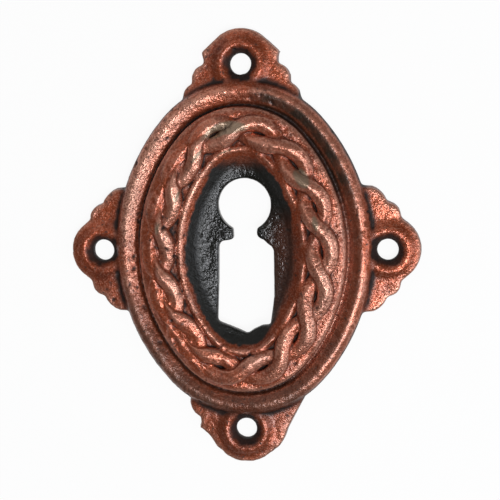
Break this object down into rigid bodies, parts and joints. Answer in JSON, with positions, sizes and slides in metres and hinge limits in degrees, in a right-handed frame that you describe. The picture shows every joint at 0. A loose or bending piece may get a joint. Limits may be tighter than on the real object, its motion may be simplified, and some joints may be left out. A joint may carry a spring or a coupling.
{
  "type": "keyhole escutcheon",
  "caption": "Cast iron keyhole escutcheon: oval moulded plate with a twisted wreath round a dished keyhole, and scalloped lugs with countersunk screw holes.",
  "frame": {"origin": "middle of the oval on the flat back that lies against the door", "axes": "+Z out of the decorated front, +Y along the long axis towards the round end of the keyhole, +X to the right seen from the front"},
  "size_m": [0.0584, 0.0724, 0.006],
  "materials": {
    "painted_cast_iron": "semi-gloss copper bronze paint over a sand-cast surface, gloss black in the recess"
  },
  "bodies": {
    "root": {"escutcheon_plate": "painted_cast_iron"}
  },
  "joints": []
}
